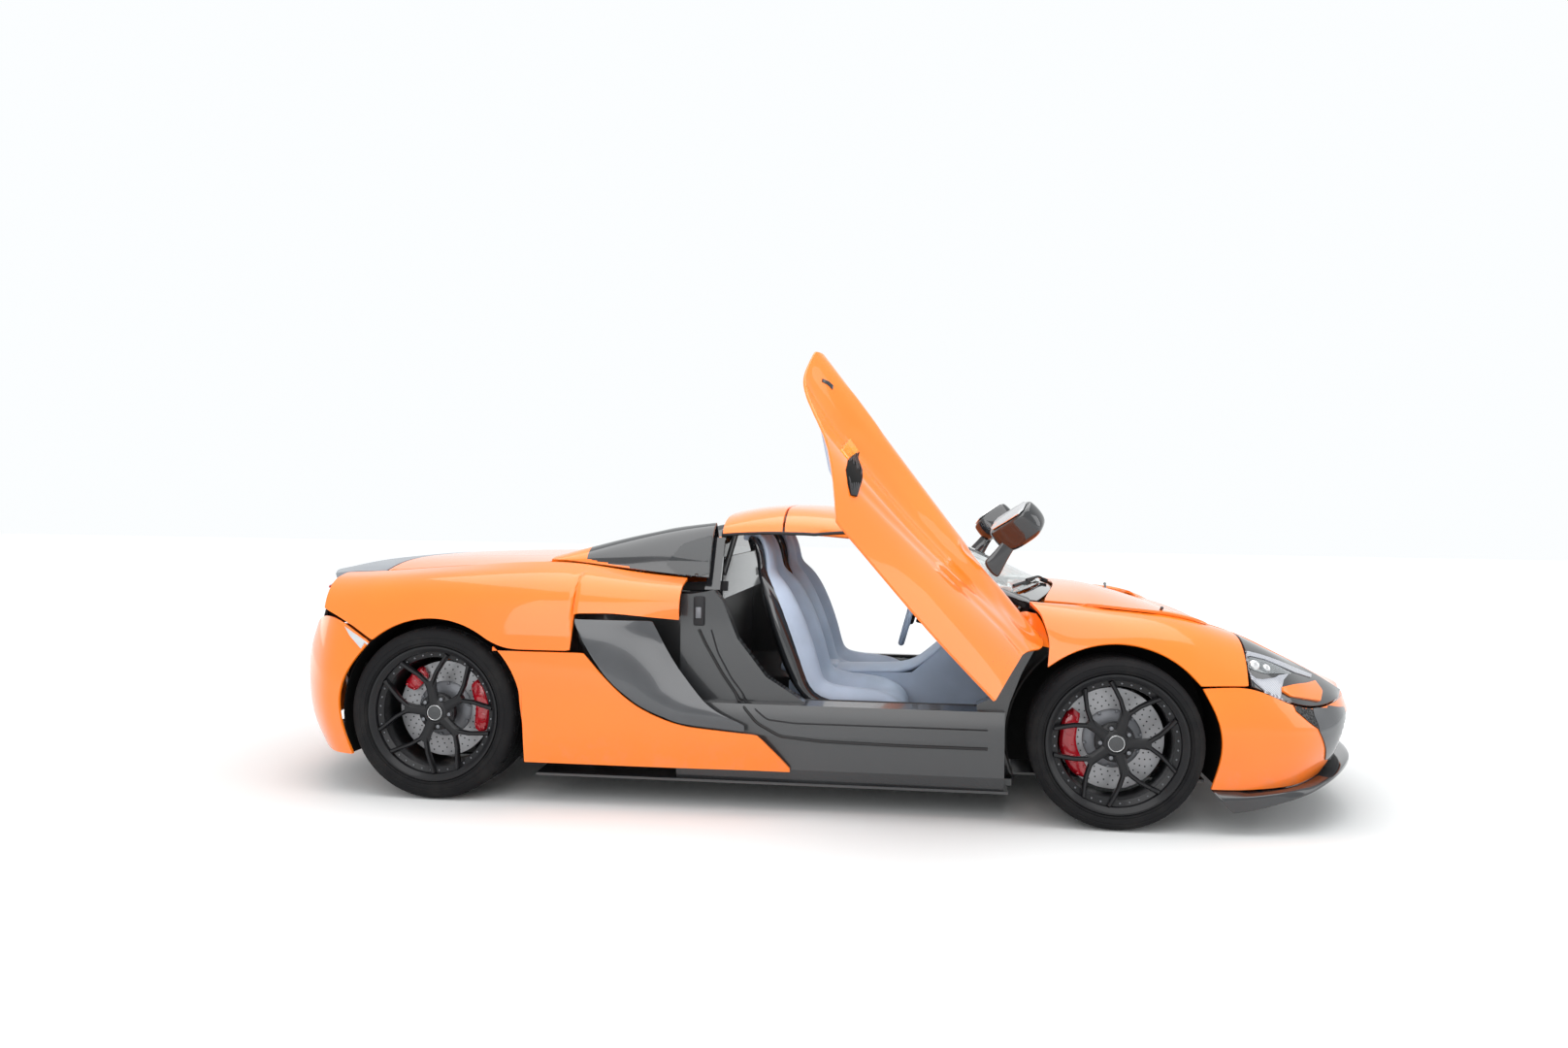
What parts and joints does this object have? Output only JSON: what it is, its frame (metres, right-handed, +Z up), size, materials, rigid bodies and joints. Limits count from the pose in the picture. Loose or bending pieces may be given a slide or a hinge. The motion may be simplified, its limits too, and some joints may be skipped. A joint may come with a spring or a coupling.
{
  "type": "sports car",
  "caption": "Low mid-engined two-seat roadster with a folding hard top, upward-swinging doors shown open, forked-spoke wheels and a side air intake.",
  "frame": {"origin": "middle of the car's footprint, on the ground", "axes": "+X forwards, +Y to the car's left, +Z up"},
  "size_m": [4.5063, 3.0834, 1.7617],
  "materials": {
    "paint": "gloss",
    "carbon": "gloss",
    "black_trim": "satin",
    "airbrake_grey": "satin",
    "glass": "clear",
    "red_lens": "gloss",
    "steel": "brushed",
    "chassis_metal": "satin",
    "engine_metal": "cast",
    "blue_leather": "soft",
    "tyre_rubber": "matte",
    "wheel_black": "satin"
  },
  "bodies": {
    "body": {"tub": "carbon", "front_bumper": "paint", "splitter": "carbon", "front_grille": "black_trim", "front_fenders": "paint", "headlights": "carbon", "windscreen": "glass", "windscreen_frame": "carbon", "roof": "paint", "rear_glass": "glass", "engine_cover": "paint", "rear_fenders": "paint", "side_panels": "paint", "side_intakes": "carbon", "rear_bumper": "paint", "rear_grille": "black_trim", "tail_lights": "red_lens", "diffuser": "carbon", "exhausts": "steel", "engine": "engine_metal", "wheel_liners": "black_trim", "suspension": "chassis_metal", "seat_right": "blue_leather", "seat_left": "blue_leather", "dashboard": "blue_leather"},
    "bonnet": {"bonnet": "paint"},
    "tonneau": {"tonneau_cover": "paint"},
    "airbrake": {"airbrake": "airbrake_grey"},
    "steering_wheel": {"steering_wheel": "blue_leather"},
    "door_right": {"door_right": "paint", "door_trim_right": "blue_leather", "mirror_right": "carbon"},
    "door_left": {"door_left": "paint", "door_trim_left": "blue_leather", "mirror_left": "carbon"},
    "knuckle_right": {"knuckle_right": "chassis_metal"},
    "knuckle_left": {"knuckle_left": "chassis_metal"},
    "wheel_front_right": {"tyre_front_right": "tyre_rubber", "rim_front_right": "wheel_black"},
    "wheel_front_left": {"tyre_front_left": "tyre_rubber", "rim_front_left": "wheel_black"},
    "wheel_rear_right": {"tyre_rear_right": "tyre_rubber", "rim_rear_right": "wheel_black"},
    "wheel_rear_left": {"tyre_rear_left": "tyre_rubber", "rim_rear_left": "wheel_black"}
  },
  "joints": [
    {"name": "bonnet_lid", "type": "hinge", "parent": "body", "child": "bonnet", "pos_m": [0.92, 0, 0.797], "axis": [0, -1, 0], "range_deg": [0, 45]},
    {"name": "tonneau_lid", "type": "hinge", "parent": "body", "child": "tonneau", "pos_m": [-1.046, 0, 0.972], "axis": [0, -1, 0], "range_deg": [0, 40]},
    {"name": "airbrake_tilt", "type": "hinge", "parent": "body", "child": "airbrake", "pos_m": [-1.772, 0, 0.947], "axis": [0, 1, 0], "range_deg": [0, 55]},
    {"name": "door_right_hinge", "type": "hinge", "parent": "body", "child": "door_right", "pos_m": [0.825, -0.8, 0.785], "axis": [-0.6949, 0.5309, 0.4849], "range_deg": [-72, 0]},
    {"name": "door_left_hinge", "type": "hinge", "parent": "body", "child": "door_left", "pos_m": [0.825, 0.8, 0.785], "axis": [0.6949, 0.5309, -0.4849], "range_deg": [-72, 0]},
    {"name": "steer_left", "type": "hinge", "parent": "body", "child": "knuckle_left", "pos_m": [1.213, 0.684, 0.323], "axis": [0, 0, 1], "range_deg": [-30, 30]},
    {"name": "steer_right", "type": "hinge", "parent": "body", "child": "knuckle_right", "pos_m": [1.213, -0.684, 0.323], "axis": [0, 0, 1], "range_deg": [-30, 30]},
    {"name": "steering_wheel_turn", "type": "hinge", "parent": "body", "child": "steering_wheel", "pos_m": [0.415, 0.37, 0.68], "axis": [0.9659, 0, -0.2588], "range_deg": [-480, 480]},
    {"name": "wheel_front_right_spin", "type": "hinge", "parent": "knuckle_right", "child": "wheel_front_right", "pos_m": [1.213, -0.8205, 0.323], "axis": [0, 1, 0], "continuous": true},
    {"name": "wheel_front_left_spin", "type": "hinge", "parent": "knuckle_left", "child": "wheel_front_left", "pos_m": [1.213, 0.8205, 0.323], "axis": [0, 1, 0], "continuous": true},
    {"name": "wheel_rear_right_spin", "type": "hinge", "parent": "body", "child": "wheel_rear_right", "pos_m": [-1.457, -0.7855, 0.345], "axis": [0, 1, 0], "continuous": true},
    {"name": "wheel_rear_left_spin", "type": "hinge", "parent": "body", "child": "wheel_rear_left", "pos_m": [-1.457, 0.7855, 0.345], "axis": [0, 1, 0], "continuous": true}
  ],
  "couplings": [
    {"joint": "steer_right", "follows": "steer_left", "ratio": 1},
    {"joint": "steering_wheel_turn", "follows": "steer_left", "ratio": -16}
  ]
}
